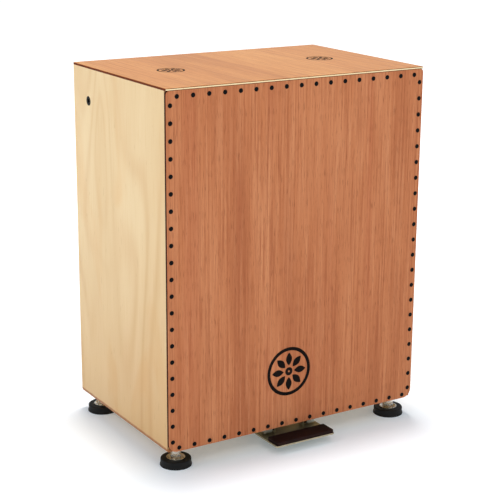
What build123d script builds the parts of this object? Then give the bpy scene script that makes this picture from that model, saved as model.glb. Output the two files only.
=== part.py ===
from build123d import *
import os
from math import atan2, cos, degrees, hypot, radians, sin

# Cajon: a wooden box drum. The player sits on it and strikes the thin front plate (the tapa).
# A foot pedal under the front edge lifts a push rod, and the rod swings a frame of snare
# wires forward, until the wires lie against the back of the tapa.
#
# Millimetres. +X is right seen from the front, +Y is towards the back, +Z is up. The floor
# is z = 0, and the origin is under the middle of the whole object, pedal included.

# ---- driving dimensions ---------------------------------------------------------------
box_width = 398.0
box_depth = 267.0         # from the face of the tapa to the back edge of the sides
box_height = 480.0        # from the underside of the box to the seat
foot_height = 28.0        # floor to the underside of the box
pedal_reach = 26.0        # how far the pedal stands out in front of the tapa

board = 12.0              # sides, top and bottom
skin_thick = 3.0          # veneered sheet on the seat
tapa_thick = 4.0
rear_thick = 6.0
edge_round = 2.0          # softened lower edges of the sides
heel_round = 4.0          # lower back corner of the box
tapa_top_round = 5.0
tapa_bottom_round = 13.0
tapa_edge_round = 0.6
skin_corner_round = 2.0
skin_edge_round = 1.0

batten = 12.0             # strips that the rear panel is screwed to
glue_block = 14.0
glue_block_length = 150.0
sound_hole_radius = 60.0
sound_hole_up = 290.0     # from the underside of the box to the middle of the hole
sound_hole_round = 2.0

screw_shank = 1.5         # wood screw, radii and length
screw_head = 3.0
screw_length = 16.0
screw_dome = 0.6
row_count = 17            # screws along the top and the bottom of the tapa
row_end_margin = 3.5      # first screw of a row inside the side boards
row_top_margin = 10.6
row_bottom_margin = 5.5
column_count = 21         # screws up each side of the tapa
column_top_margin = 21.3
column_bottom_margin = 14.7
rear_column_count = 7
rear_row_count = 5

shaft_radius = 3.0        # shaft that the snare frame hangs on
shaft_recess = 2.0        # its ends lie this far inside the faces of the sides
shaft_from_back = 47.0
shaft_from_top = 47.0
end_chamfer = 0.5         # on the ends of the shaft and the pivot pin
bush_radius = 6.5
bush_flange_radius = 9.0
bush_flange = 1.5

pedal_width = 95.0
pedal_plate_thick = 2.0
pedal_plate_low = 11.5    # underside of the plate above the floor
pad_width = 92.0
pad_thick = 5.0
pad_margin = 0.5
pad_round = 1.0
pivot_back = 21.5         # pedal pivot behind the face of the tapa
pivot_below = 8.0         # and below the box
pin_radius = 2.5
pedal_arm = 50.0          # pivot to push rod
pedal_swing = 9.0         # degrees
tongue_width = 30.0
tongue_past_rod = 9.0
wide_behind_pivot = 12.0   # how far the wide part of the plate runs behind the pivot
spring_behind_pivot = 24.0
block_inner = 29.0        # pivot blocks
block_width = 12.0
block_half_depth = 7.0
block_below_pin = 4.5
lug_inner = 22.5
lug_thick = 2.0
lug_radius = 5.0

rod_radius = 2.5
rod_tip_radius = 4.0
rod_cap_radius = 14.0
rod_cap_thick = 4.0
guide_radius = 4.5
guide_rail_below = 100.0  # underside of the rail below the lift bar
guide_rail_depth = 20.0

snare_ratio = 0.337       # swing of the snare frame for one unit of pedal swing
arm_x = 120.0
arm_thick = 4.0
arm_width = 14.0
hub_radius = 8.0
hub_length = 12.0
lift_bar_radius = 3.0
strand_radius = 1.1
strand_count = 10
strand_pitch = 4.0
strand_length = 110.0
strand_low = -200.0       # foot of the strands, measured from the shaft
strand_pack_x = 55.0
end_bar_depth = 5.3
end_bar_height = 6.0
crossbar_depth = 8.0
crossbar_height = 18.0

foot_radius = 21.5
foot_top_radius = 20.6
foot_rubber = 10.0
foot_cup_radius = 12.5
foot_pin_radius = 3.0
hex_across = 14.0
hex_height = 8.0
collar_radius = 6.5
stud_radius = 3.95
stud_top_up = 28.0        # top of the stud above the underside of the box
stud_chamfer = 1.0
tee_radius = 5.25
tee_flange_radius = 10.0
tee_flange = 1.5
tee_wall_gap = 0.5
foot_inset = board + tee_flange_radius + tee_wall_gap   # foot axis to the faces of the box
tee_sunk = 2.0            # barrel of a tee nut above the underside of the box
tee_room = 3.0            # between a tee nut and the end of the bottom strip

# ---- named clearances -------------------------------------------------------------------
running = 0.05            # radial, pins and shafts that turn or slide
fixed_fit = 0.05          # radial, round pieces pressed or screwed into a hole
head_clearance = 0.1      # countersunk heads
free_gap = 0.3            # between pieces that only meet when something moves

# ---- levels and places worked out from them --------------------------------------------------
half_width = box_width / 2
inner_half = half_width - board
whole_depth = pedal_reach + box_depth + screw_dome
front_y = pedal_reach - whole_depth / 2
pedal_front_y = front_y - pedal_reach
rear_y = front_y + box_depth
middle_y = (front_y + rear_y) / 2
carcass_front = front_y + tapa_thick
carcass_depth = rear_y - carcass_front
panel_front = rear_y - rear_thick
base_z = foot_height
floor_z = base_z + board
top_z = base_z + box_height
skin_z = top_z - skin_thick
ceiling_z = skin_z - board

pilot_radius = screw_shank + fixed_fit
tapa_pilot = screw_length - tapa_thick + free_gap
rear_pilot = screw_length - rear_thick + free_gap

shaft_y = rear_y - shaft_from_back
shaft_z = top_z - shaft_from_top

pivot_y = front_y + pivot_back
pivot_z = base_z - pivot_below
plate_top = pedal_plate_low + pedal_plate_thick
rod_y = pivot_y + pedal_arm

foot_places = {
    "front_left": (-half_width + foot_inset, front_y + foot_inset),
    "front_right": (half_width - foot_inset, front_y + foot_inset),
    "rear_left": (-half_width + foot_inset, rear_y - foot_inset),
    "rear_right": (half_width - foot_inset, rear_y - foot_inset),
}


os.makedirs("parts", exist_ok=True)


def save(piece, name):
    piece.part.label = name
    export_step(piece.part, f"parts/{name}.step")


def level(z):
    return Plane.XY.offset(z)


def facing_front(y):
    return Plane.XZ.offset(-y)


def facing_back(y):
    return Plane(origin=(0, y, 0), x_dir=(-1, 0, 0), z_dir=(0, 1, 0))


def facing_right(x):
    return Plane.YZ.offset(x)


def evenly(first, last, count):
    return [first + (last - first) * i / (count - 1) for i in range(count)]


# ---- wood screws ------------------------------------------------------------------------------
# One black countersunk screw with a cross recess, head up at the origin. It is copied to
# every screw place.
def wood_screw():
    taper = screw_head - screw_shank
    tip = 2 * screw_shank
    tip_angle = 25
    head_round = 0.8 * screw_dome
    recess_span = 1.1 * screw_head
    with BuildPart() as screw:
        with BuildSketch():
            Circle(screw_head)
        extrude(amount=screw_dome)
        fillet(screw.edges().group_by(Axis.Z)[-1], radius=head_round)
        with BuildSketch():
            Circle(screw_head)
        extrude(amount=-taper, taper=45)
        with BuildSketch(level(-taper)):
            Circle(screw_shank)
        extrude(amount=tip + taper - screw_length)
        with BuildSketch(level(tip - screw_length)):
            Circle(screw_shank)
        extrude(amount=-tip, taper=tip_angle)
        with BuildSketch(level(screw_dome)):
            Rectangle(recess_span, screw_dome)
            Rectangle(screw_dome, recess_span)
        extrude(amount=-screw_shank, mode=Mode.SUBTRACT)
    return screw.part


def screws(name, plane, places):
    screw = wood_screw()
    with BuildPart() as group:
        with Locations(*[plane.location * Pos(u, v, 0) for u, v in places]):
            add(screw)
    save(group, name)


row_x = evenly(row_end_margin - inner_half, inner_half - row_end_margin, row_count)
row_top_z = top_z - row_top_margin
row_bottom_z = base_z + row_bottom_margin
column_x = half_width - board / 2
column_z = evenly(base_z + column_bottom_margin, top_z - column_top_margin, column_count)
tapa_places = (
    [(x, z) for z in (row_top_z, row_bottom_z) for x in row_x]
    + [(x, z) for x in (-column_x, column_x) for z in column_z]
)


# ---- the box ------------------------------------------------------------------------------------
def make_side(name, side):
    """A side board, from the underside of the box up to the skin, bored for the bush."""
    with BuildPart() as piece:
        with BuildSketch(facing_right(side * half_width)):
            with Locations(((carcass_front + rear_y) / 2, (base_z + skin_z) / 2)):
                Rectangle(carcass_depth, skin_z - base_z)
            with Locations((shaft_y, shaft_z)):
                Circle(bush_radius + fixed_fit, mode=Mode.SUBTRACT)
        extrude(amount=-side * board)
        heel = piece.edges().filter_by(Axis.X).group_by(Axis.Z)[0].sort_by(Axis.Y)[-1]
        fillet(heel, radius=heel_round)
        low = piece.edges().filter_by(Axis.Y).group_by(Axis.Z)[0].sort_by(Axis.X)
        fillet(low[0 if side < 0 else -1], radius=edge_round)
        with BuildSketch(facing_front(carcass_front)):
            with Locations(*[(side * column_x, z) for z in column_z]):
                Circle(pilot_radius)
        extrude(amount=-tapa_pilot, mode=Mode.SUBTRACT)
    save(piece, name)


make_side("left_side", -1)
make_side("right_side", 1)

with BuildPart() as top_board:
    with BuildSketch(level(ceiling_z)):
        with Locations((0, (carcass_front + rear_y) / 2)):
            Rectangle(2 * inner_half, carcass_depth)
    extrude(amount=board)
    with BuildSketch(facing_front(carcass_front)):
        with Locations(*[(x, row_top_z) for x in row_x]):
            Circle(pilot_radius)
    extrude(amount=-tapa_pilot, mode=Mode.SUBTRACT)
save(top_board, "top_board")

block_screw_y = pivot_y + 2 * block_half_depth
block_screw_x = block_inner + block_width / 2
block_screw_depth = 8.0

# The bottom board is bored for the four tee nuts, the push rod's guide and the two screws
# that hold the pedal's pivot blocks.
with BuildPart() as bottom_board:
    with BuildSketch(level(base_z)):
        with Locations((0, (carcass_front + rear_y) / 2)):
            Rectangle(2 * inner_half, carcass_depth)
        with Locations(*foot_places.values()):
            Circle(tee_radius + fixed_fit, mode=Mode.SUBTRACT)
        with Locations((0, rod_y)):
            Circle(guide_radius + fixed_fit, mode=Mode.SUBTRACT)
    extrude(amount=board)
    heel = bottom_board.edges().filter_by(Axis.X).group_by(Axis.Z)[0].sort_by(Axis.Y)[-1]
    fillet(heel, radius=heel_round)
    with BuildSketch(level(base_z)):
        with Locations((-block_screw_x, block_screw_y), (block_screw_x, block_screw_y)):
            Circle(pilot_radius)
    extrude(amount=block_screw_depth + free_gap, mode=Mode.SUBTRACT)
    with BuildSketch(facing_front(carcass_front)):
        with Locations(*[(x, row_bottom_z) for x in row_x]):
            Circle(pilot_radius)
    extrude(amount=-tapa_pilot, mode=Mode.SUBTRACT)
save(bottom_board, "bottom_board")

# The skin covers the top board, the top edges of the sides and the top edge of the tapa.
with BuildPart() as top_skin:
    with BuildSketch(level(skin_z)):
        with Locations((0, middle_y)):
            RectangleRounded(box_width, box_depth, skin_corner_round)
    extrude(amount=skin_thick)
    fillet(top_skin.faces().sort_by(Axis.Z)[-1].edges(), radius=skin_edge_round)
save(top_skin, "top_skin")

# The tapa is rounded more at the bottom corners than at the top ones.
with BuildPart(facing_front(front_y)) as tapa:
    with BuildSketch(facing_front(carcass_front)) as tapa_outline:
        with Locations((0, (base_z + skin_z) / 2)):
            Rectangle(box_width, skin_z - base_z)
        fillet(tapa_outline.vertices().group_by(Axis.Y)[0], radius=tapa_bottom_round)
        fillet(tapa_outline.vertices().group_by(Axis.Y)[-1], radius=tapa_top_round)
    extrude(amount=tapa_thick)
    fillet(tapa.faces().sort_by(Axis.Y)[0].edges(), radius=tapa_edge_round)
    with Locations(*tapa_places):
        CounterSinkHole(screw_shank + fixed_fit, screw_head + head_clearance, counter_sink_angle=90)
save(tapa, "tapa")
screws("tapa_screws", facing_front(front_y), tapa_places)

# ---- rear panel and the strips it is screwed to ------------------------------------------------------
batten_x = inner_half - batten / 2
batten_y = panel_front - batten / 2
side_batten_low = base_z + stud_top_up + batten / 2
bottom_batten_half = half_width - foot_inset - tee_flange_radius - tee_room
rear_column_z = evenly(side_batten_low + batten, ceiling_z - batten / 2, rear_column_count)
rear_row_x = evenly(-bottom_batten_half + batten, bottom_batten_half - batten, rear_row_count)
top_batten_z = ceiling_z - batten / 2
bottom_batten_z = floor_z + batten / 2
sound_z = base_z + sound_hole_up
rear_places = (
    [(x, z) for x in (-batten_x, batten_x) for z in rear_column_z]
    + [(x, z) for z in (top_batten_z, bottom_batten_z) for x in rear_row_x]
)

with BuildPart(facing_back(rear_y)) as rear_panel:
    with BuildSketch(facing_back(rear_y)):
        with Locations((0, (floor_z + ceiling_z) / 2)):
            Rectangle(2 * inner_half, ceiling_z - floor_z)
        with Locations((0, sound_z)):
            Circle(sound_hole_radius, mode=Mode.SUBTRACT)
    extrude(amount=-rear_thick)
    fillet(rear_panel.edges().filter_by(GeomType.CIRCLE).sort_by(Axis.Y)[-1], radius=sound_hole_round)
    with Locations(*rear_places):
        CounterSinkHole(screw_shank + fixed_fit, screw_head + head_clearance, counter_sink_angle=90)
save(rear_panel, "rear_panel")
screws("rear_screws", facing_back(rear_y), rear_places)


def make_batten(name, x, z, width, height, places):
    """A strip behind the rear panel's edge, with a pilot hole for each screw."""
    with BuildPart() as piece:
        with BuildSketch(facing_back(panel_front)):
            with Locations((-x, z)):
                Rectangle(width, height)
        extrude(amount=-batten)
        with BuildSketch(facing_back(panel_front)):
            with Locations(*[(-u, v) for u, v in places]):
                Circle(pilot_radius)
        extrude(amount=-rear_pilot, mode=Mode.SUBTRACT)
    save(piece, name)


side_batten_middle = (side_batten_low + ceiling_z) / 2
side_batten_height = ceiling_z - side_batten_low
for side_name, side in (("left", -1), ("right", 1)):
    x = side * batten_x
    column = [(x, z) for z in rear_column_z]
    make_batten(f"rear_batten_{side_name}", x, side_batten_middle, batten, side_batten_height, column)
top_batten_width = 2 * (inner_half - batten)
top_row = [(x, top_batten_z) for x in rear_row_x]
bottom_row = [(x, bottom_batten_z) for x in rear_row_x]
make_batten("rear_batten_top", 0, top_batten_z, top_batten_width, batten, top_row)
make_batten("rear_batten_bottom", 0, bottom_batten_z, 2 * bottom_batten_half, batten, bottom_row)

# Three-cornered glue blocks in the four long corners of the box.
with BuildPart() as glue_blocks:
    with BuildSketch(facing_front(middle_y - glue_block_length / 2)):
        for side in (-1, 1):
            for corner_z, up in ((floor_z, 1), (ceiling_z, -1)):
                with BuildLine():
                    Polyline(
                        (side * inner_half, corner_z),
                        (side * (inner_half - glue_block), corner_z),
                        (side * inner_half, corner_z + up * glue_block),
                        close=True,
                    )
                make_face()
    extrude(amount=-glue_block_length)
save(glue_blocks, "glue_blocks")

# ---- pedal ----------------------------------------------------------------------------------------------
rear_of_wide = pivot_y + wide_behind_pivot
tongue_end = rod_y + tongue_past_rod
plate_corner = 3.0
lug_x = lug_inner + lug_thick / 2
pad_depth = pedal_reach - 2 * pad_margin
pad_y = (pedal_front_y + front_y) / 2
rivet_radius = 1.5
rivet_head = 3.0
rivet_head_thick = 0.6
rivet_x = (-pad_width / 3, 0, pad_width / 3)
rivet_rise = pad_thick * 0.6

# A flat plate with two upright lugs on the pivot pin and a tongue that reaches the push rod.
with BuildPart() as pedal_plate:
    with BuildSketch(level(pedal_plate_low)) as plate_outline:
        with Locations((0, (pedal_front_y + rear_of_wide) / 2)):
            RectangleRounded(pedal_width, rear_of_wide - pedal_front_y, plate_corner)
        with Locations((0, (pivot_y + tongue_end) / 2)):
            RectangleRounded(tongue_width, tongue_end - pivot_y, plate_corner)
        with Locations(*[(x, pad_y) for x in rivet_x]):
            Circle(rivet_radius + fixed_fit, mode=Mode.SUBTRACT)
    extrude(amount=pedal_plate_thick)
    for side in (-1, 1):
        with BuildSketch(facing_right(side * lug_x)):
            with Locations((pivot_y, pivot_z)):
                Circle(lug_radius)
            with Locations((pivot_y, (plate_top + pivot_z) / 2)):
                Rectangle(2 * lug_radius, pivot_z - plate_top)
            with Locations((pivot_y, pivot_z)):
                Circle(pin_radius + running, mode=Mode.SUBTRACT)
        extrude(amount=lug_thick / 2, both=True)
save(pedal_plate, "pedal_plate")

with BuildPart() as pedal_pad:
    with BuildSketch(level(plate_top)):
        with Locations((0, pad_y)):
            RectangleRounded(pad_width, pad_depth, plate_corner / 2)
    extrude(amount=pad_thick)
    fillet(pedal_pad.faces().sort_by(Axis.Z)[-1].edges(), radius=pad_round)
    with BuildSketch(level(plate_top)):
        with Locations(*[(x, pad_y) for x in rivet_x]):
            Circle(rivet_radius + fixed_fit)
    extrude(amount=rivet_rise + free_gap, mode=Mode.SUBTRACT)
save(pedal_pad, "pedal_pad")

with BuildPart() as pad_rivets:
    with BuildSketch(level(pedal_plate_low - rivet_head_thick)):
        with Locations(*[(x, pad_y) for x in rivet_x]):
            Circle(rivet_head)
    extrude(amount=rivet_head_thick)
    with BuildSketch(level(pedal_plate_low)):
        with Locations(*[(x, pad_y) for x in rivet_x]):
            Circle(rivet_radius)
    extrude(amount=pedal_plate_thick + rivet_rise)
save(pad_rivets, "pad_rivets")

block_tail = 22.0
block_tail_thick = 4.0
block_low = pivot_z - block_below_pin


def make_pivot_block(name, side):
    """A cast block under the box that carries one end of the pivot pin."""
    with BuildPart() as piece:
        with BuildSketch(facing_right(side * block_inner)):
            with Locations((pivot_y, (block_low + base_z) / 2)):
                Rectangle(2 * block_half_depth, base_z - block_low)
            with Locations((pivot_y + block_tail / 2, base_z - block_tail_thick / 2)):
                Rectangle(block_tail, block_tail_thick)
            with Locations((pivot_y, pivot_z)):
                Circle(pin_radius + fixed_fit, mode=Mode.SUBTRACT)
        extrude(amount=side * block_width)
        fillet(piece.edges().filter_by(Axis.X).group_by(Axis.Z)[0], radius=edge_round)
        with BuildSketch(level(base_z)):
            with Locations((side * block_screw_x, block_screw_y)):
                Circle(pilot_radius)
        extrude(amount=-block_tail_thick, mode=Mode.SUBTRACT)
    save(piece, name)


make_pivot_block("pivot_block_left", -1)
make_pivot_block("pivot_block_right", 1)

pan_radius = 3.2
pan_height = 2.0
pan_round = 0.8
with BuildPart() as pivot_block_screws:
    with BuildSketch(level(base_z - block_tail_thick - pan_height)):
        with Locations((-block_screw_x, block_screw_y), (block_screw_x, block_screw_y)):
            Circle(pan_radius)
    extrude(amount=pan_height)
    fillet(pivot_block_screws.edges().group_by(Axis.Z)[0], radius=pan_round)
    with BuildSketch(level(base_z - block_tail_thick)):
        with Locations((-block_screw_x, block_screw_y), (block_screw_x, block_screw_y)):
            Circle(screw_shank)
    extrude(amount=block_tail_thick + block_screw_depth)
save(pivot_block_screws, "pivot_block_screws")

block_outer = block_inner + block_width
clip_thick = 0.8
pin_past_block = 3.0
pin_half = block_outer + pin_past_block
with BuildPart() as pivot_pin:
    with BuildSketch(facing_right(-pin_half)):
        with Locations((pivot_y, pivot_z)):
            Circle(pin_radius)
    extrude(amount=2 * pin_half)
    chamfer(pivot_pin.edges().filter_by(GeomType.CIRCLE), length=end_chamfer)
save(pivot_pin, "pivot_pin")

with BuildPart() as pin_clips:
    for side in (-1, 1):
        with BuildSketch(facing_right(side * block_outer)):
            with Locations((pivot_y, pivot_z)):
                Circle(2 * pin_radius)
                Circle(pin_radius + fixed_fit, mode=Mode.SUBTRACT)
        extrude(amount=side * clip_thick)
save(pin_clips, "pin_clips")

washer_gap = 0.1
washer_radius = 4.5
washer_inner = lug_inner + lug_thick + washer_gap
with BuildPart() as pivot_washers:
    for side in (-1, 1):
        with BuildSketch(facing_right(side * washer_inner)):
            with Locations((pivot_y, pivot_z)):
                Circle(washer_radius)
                Circle(pin_radius + fixed_fit, mode=Mode.SUBTRACT)
        extrude(amount=side * (block_inner - washer_inner))
save(pivot_washers, "pivot_washers")

# Return spring between the tongue and the underside of the box.
spring_wire = 0.7
spring_radius = 5.0
spring_y = pivot_y + spring_behind_pivot
spring_turns = 4.5
spring_low = plate_top + spring_wire + washer_gap
spring_rise = base_z - spring_wire - washer_gap - spring_low
with BuildPart() as pedal_spring:
    with BuildLine(level(spring_low)) as spring_line:
        Helix(spring_rise / spring_turns, spring_rise, spring_radius, center=(0, spring_y, 0))
    with BuildSketch(Plane(origin=spring_line.wires()[0] @ 0, z_dir=spring_line.wires()[0] % 0)):
        Circle(spring_wire)
    sweep()
save(pedal_spring, "pedal_spring")

# ---- snare frame ---------------------------------------------------------------------------------------
# The frame is drawn as it stands when the pedal is down and the strands are upright, and is
# then laid back about the shaft by its swing, which is how it rests.
snare_swing = radians(pedal_swing) * snare_ratio
play = Plane(
    origin=(0, shaft_y, shaft_z), x_dir=(1, 0, 0), z_dir=(0, -sin(snare_swing), cos(snare_swing))
)


def play_level(z):
    return play.offset(z)


def play_side(x):
    return Plane(origin=(x, shaft_y, shaft_z), x_dir=play.y_dir, z_dir=(1, 0, 0))


def play_back(y):
    """Plane across the frame at y from the shaft, facing the back of the box."""
    return Plane(origin=play.from_local_coords((0, y, 0)), x_dir=(-1, 0, 0), z_dir=play.y_dir)


strand_y = carcass_front + free_gap + strand_radius - shaft_y
end_bar_front = carcass_front + 2 * free_gap - shaft_y
end_bar_back = end_bar_front + end_bar_depth
crossbar_y = end_bar_back + crossbar_depth / 2
crossbar_z = strand_low - end_bar_height / 2
arm_inner = arm_x - arm_thick / 2
arm_outer = arm_x + arm_thick / 2
arm_length = hypot(crossbar_y, crossbar_z)
arm_angle = degrees(atan2(crossbar_z, crossbar_y))

# The lift bar crosses the arms above the push rod, half way between its two positions.
lift_y = rod_y - shaft_y - lift_bar_radius
lift_z = lift_y * crossbar_z / crossbar_y
lift_rest_z = play.from_local_coords((0, lift_y, lift_z)).Z
bolt_radius = 2.0
bolt_length = 12.0
bolt_head = 3.5
bolt_head_thick = 2.8
grub_radius = 2.0

with BuildPart() as snare_shaft:
    with BuildSketch(facing_right(shaft_recess - half_width)):
        with Locations((shaft_y, shaft_z)):
            Circle(shaft_radius)
    extrude(amount=box_width - 2 * shaft_recess)
    chamfer(snare_shaft.edges().filter_by(GeomType.CIRCLE), length=end_chamfer)
save(snare_shaft, "snare_shaft")


def make_bush(name, side):
    """A black bush in a side board, flush outside and flanged inside."""
    with BuildPart() as piece:
        with BuildSketch(facing_right(side * half_width)):
            with Locations((shaft_y, shaft_z)):
                Circle(bush_radius)
                Circle(shaft_radius + running, mode=Mode.SUBTRACT)
        extrude(amount=-side * board)
        with BuildSketch(facing_right(side * inner_half)):
            with Locations((shaft_y, shaft_z)):
                Circle(bush_flange_radius)
                Circle(shaft_radius + running, mode=Mode.SUBTRACT)
        extrude(amount=-side * bush_flange)
    save(piece, name)


make_bush("shaft_bush_left", -1)
make_bush("shaft_bush_right", 1)


def make_arm(name, side):
    """A flat steel arm from the hub on the shaft down and forward to the crossbar."""
    with BuildPart() as piece:
        with BuildSketch(play_side(side * arm_x)):
            with Locations((crossbar_y / 2, crossbar_z / 2)):
                SlotCenterToCenter(arm_length, arm_width, rotation=arm_angle)
            Circle(hub_radius)
            Circle(shaft_radius + fixed_fit, mode=Mode.SUBTRACT)
            with Locations((crossbar_y, crossbar_z)):
                Circle(bolt_radius + fixed_fit, mode=Mode.SUBTRACT)
            with Locations((lift_y, lift_z)):
                Circle(lift_bar_radius + fixed_fit, mode=Mode.SUBTRACT)
        extrude(amount=arm_thick / 2, both=True)
        with BuildSketch(play_side(side * arm_x)):
            Circle(hub_radius)
            Circle(shaft_radius + fixed_fit, mode=Mode.SUBTRACT)
        extrude(amount=hub_length / 2, both=True)
        with BuildSketch(play_level(0)):
            with Locations((side * (arm_outer + hub_length / 6), 0)):
                Circle(grub_radius + fixed_fit)
        extrude(amount=hub_radius, mode=Mode.SUBTRACT)
    save(piece, name)


make_arm("snare_arm_left", -1)
make_arm("snare_arm_right", 1)

with BuildPart() as hub_set_screws:
    with BuildSketch(play_level(shaft_radius + fixed_fit)):
        for side in (-1, 1):
            with Locations((side * (arm_outer + hub_length / 6), 0)):
                Circle(grub_radius)
                RegularPolygon(grub_radius / 2, 6, mode=Mode.SUBTRACT)
    extrude(amount=hub_radius - shaft_radius - free_gap)
save(hub_set_screws, "hub_set_screws")

with BuildPart() as lift_bar:
    with BuildSketch(play_side(-arm_outer)):
        with Locations((lift_y, lift_z)):
            Circle(lift_bar_radius)
    extrude(amount=2 * arm_outer)
save(lift_bar, "lift_bar")

end_bar_width = strand_pitch * (strand_count - 1) + 3 * strand_pitch
bar_screw_radius = 1.5
bar_screw_places = [
    (pack + offset, crossbar_z)
    for pack in (-strand_pack_x, strand_pack_x)
    for offset in (-end_bar_width / 4, end_bar_width / 4)
]
bar_screw_depth = end_bar_depth / 2

with BuildPart() as snare_crossbar:
    with BuildSketch(play_side(-arm_inner)):
        with Locations((crossbar_y, crossbar_z)):
            Rectangle(crossbar_depth, crossbar_height)
            Circle(bolt_radius + fixed_fit, mode=Mode.SUBTRACT)
    extrude(amount=bolt_length)
    with BuildSketch(play_side(bolt_length - arm_inner)):
        with Locations((crossbar_y, crossbar_z)):
            Rectangle(crossbar_depth, crossbar_height)
    extrude(amount=2 * (arm_inner - bolt_length))
    with BuildSketch(play_side(arm_inner)):
        with Locations((crossbar_y, crossbar_z)):
            Rectangle(crossbar_depth, crossbar_height)
            Circle(bolt_radius + fixed_fit, mode=Mode.SUBTRACT)
    extrude(amount=-bolt_length)
    with BuildSketch(play_back(end_bar_back)):
        with Locations(*bar_screw_places):
            Circle(bar_screw_radius + fixed_fit)
    extrude(amount=crossbar_depth, mode=Mode.SUBTRACT)
save(snare_crossbar, "snare_crossbar")

with BuildPart() as crossbar_bolts:
    for side in (-1, 1):
        with BuildSketch(play_side(side * arm_outer)):
            with Locations((crossbar_y, crossbar_z)):
                RegularPolygon(bolt_head, 6)
        extrude(amount=side * bolt_head_thick)
        with BuildSketch(play_side(side * arm_outer)):
            with Locations((crossbar_y, crossbar_z)):
                Circle(bolt_radius)
        extrude(amount=-side * bolt_length)
save(crossbar_bolts, "crossbar_bolts")

with BuildPart() as snare_bar_screws:
    with BuildSketch(play_back(end_bar_back + crossbar_depth)):
        with Locations(*bar_screw_places):
            Circle(2 * bar_screw_radius)
    extrude(amount=bar_screw_radius)
    with BuildSketch(play_back(end_bar_back + crossbar_depth)):
        with Locations(*bar_screw_places):
            Circle(bar_screw_radius)
    extrude(amount=-(crossbar_depth + bar_screw_depth))
save(snare_bar_screws, "snare_bar_screws")


def make_snare_pack(side_name, side):
    """Ten strands that stand on an end bar, and the end bar with its two screw holes."""
    pack_x = side * strand_pack_x
    with BuildPart() as bar:
        with BuildSketch(play_level(strand_low)):
            with Locations((pack_x, (end_bar_front + end_bar_back) / 2)):
                Rectangle(end_bar_width, end_bar_depth)
        extrude(amount=-end_bar_height)
        with BuildSketch(play_back(end_bar_back)):
            with Locations(*[(-u, v) for u, v in bar_screw_places if u * side > 0]):
                Circle(bar_screw_radius + fixed_fit)
        extrude(amount=-(bar_screw_depth + free_gap), mode=Mode.SUBTRACT)
    save(bar, f"snare_bar_{side_name}")
    strand_span = strand_pitch * (strand_count - 1) / 2
    strand_x = evenly(pack_x - strand_span, pack_x + strand_span, strand_count)
    with BuildPart() as strands:
        with BuildSketch(play_level(strand_low)):
            with Locations(*[(x, strand_y) for x in strand_x]):
                Circle(strand_radius)
        extrude(amount=strand_length)
    save(strands, f"snare_wires_{side_name}")


make_snare_pack("left", -1)
make_snare_pack("right", 1)

# ---- push rod and its guides -----------------------------------------------------------------------------
tip_center = plate_top + free_gap + rod_tip_radius
tip_top = tip_center + rod_tip_radius / 2
rod_low = tip_center - rod_tip_radius / 2
cap_top = lift_rest_z - lift_bar_radius - free_gap
cap_hub = 8.0
cap_hub_radius = 5.0
cap_floor = 1.0

with BuildPart() as push_rod:
    with BuildSketch(level(rod_low)):
        with Locations((0, rod_y)):
            Circle(rod_radius)
    extrude(amount=cap_top - cap_floor - rod_low)
save(push_rod, "push_rod")

# Nylon tip with a round nose, so that it rolls over the tongue as the pedal tilts.
with BuildPart() as rod_tip:
    with Locations((0, rod_y, tip_center)):
        Sphere(rod_tip_radius)
    with BuildSketch(level(tip_center)):
        with Locations((0, rod_y)):
            Circle(rod_tip_radius)
    extrude(amount=tip_top - tip_center)
    split(bisect_by=level(tip_top), keep=Keep.BOTTOM)
    with BuildSketch(level(rod_low)):
        with Locations((0, rod_y)):
            Circle(rod_radius + fixed_fit)
    extrude(amount=tip_top - rod_low, mode=Mode.SUBTRACT)
save(rod_tip, "rod_tip")

with BuildPart() as rod_cap:
    with BuildSketch(level(cap_top)):
        with Locations((0, rod_y)):
            Circle(rod_cap_radius)
    extrude(amount=-rod_cap_thick)
    with BuildSketch(level(cap_top - rod_cap_thick)):
        with Locations((0, rod_y)):
            Circle(cap_hub_radius)
    extrude(amount=-cap_hub)
    with BuildSketch(level(cap_top - cap_floor)):
        with Locations((0, rod_y)):
            Circle(rod_radius + fixed_fit)
    extrude(amount=-(rod_cap_thick + cap_hub), mode=Mode.SUBTRACT)
save(rod_cap, "rod_cap")


def make_guide(name, low, length):
    """A bush for the push rod, with a flange on top."""
    with BuildPart() as piece:
        with BuildSketch(level(low)):
            with Locations((0, rod_y)):
                Circle(guide_radius)
                Circle(rod_radius + running, mode=Mode.SUBTRACT)
        extrude(amount=length)
        with BuildSketch(level(low + length)):
            with Locations((0, rod_y)):
                Circle(2 * guide_radius)
                Circle(rod_radius + running, mode=Mode.SUBTRACT)
        extrude(amount=bush_flange)
    save(piece, name)


rail_z = lift_rest_z - guide_rail_below
make_guide("rod_guide_lower", base_z, board)
make_guide("rod_guide_upper", rail_z, board)

with BuildPart() as guide_rail:
    with BuildSketch(level(rail_z)):
        with Locations((0, rod_y)):
            Rectangle(2 * inner_half, guide_rail_depth)
            Circle(guide_radius + fixed_fit, mode=Mode.SUBTRACT)
    extrude(amount=board)
save(guide_rail, "guide_rail")

# ---- feet ------------------------------------------------------------------------------------------------
# Each foot is a rubber disc with a dished washer in it, and a screw that turns in the washer.
# The screw runs in a tee nut in the bottom board. Screwed home, its collar meets the box.
cup_floor = 7.0
cup_sheet = 1.2
cup_flat = 9.6
cup_rim_low = foot_rubber - 0.4
hex_low = cup_floor + cup_sheet
hex_top = hex_low + hex_height
pin_low = foot_rubber * 0.4
rubber_round = 1.4
flare_height = 1.5


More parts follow.
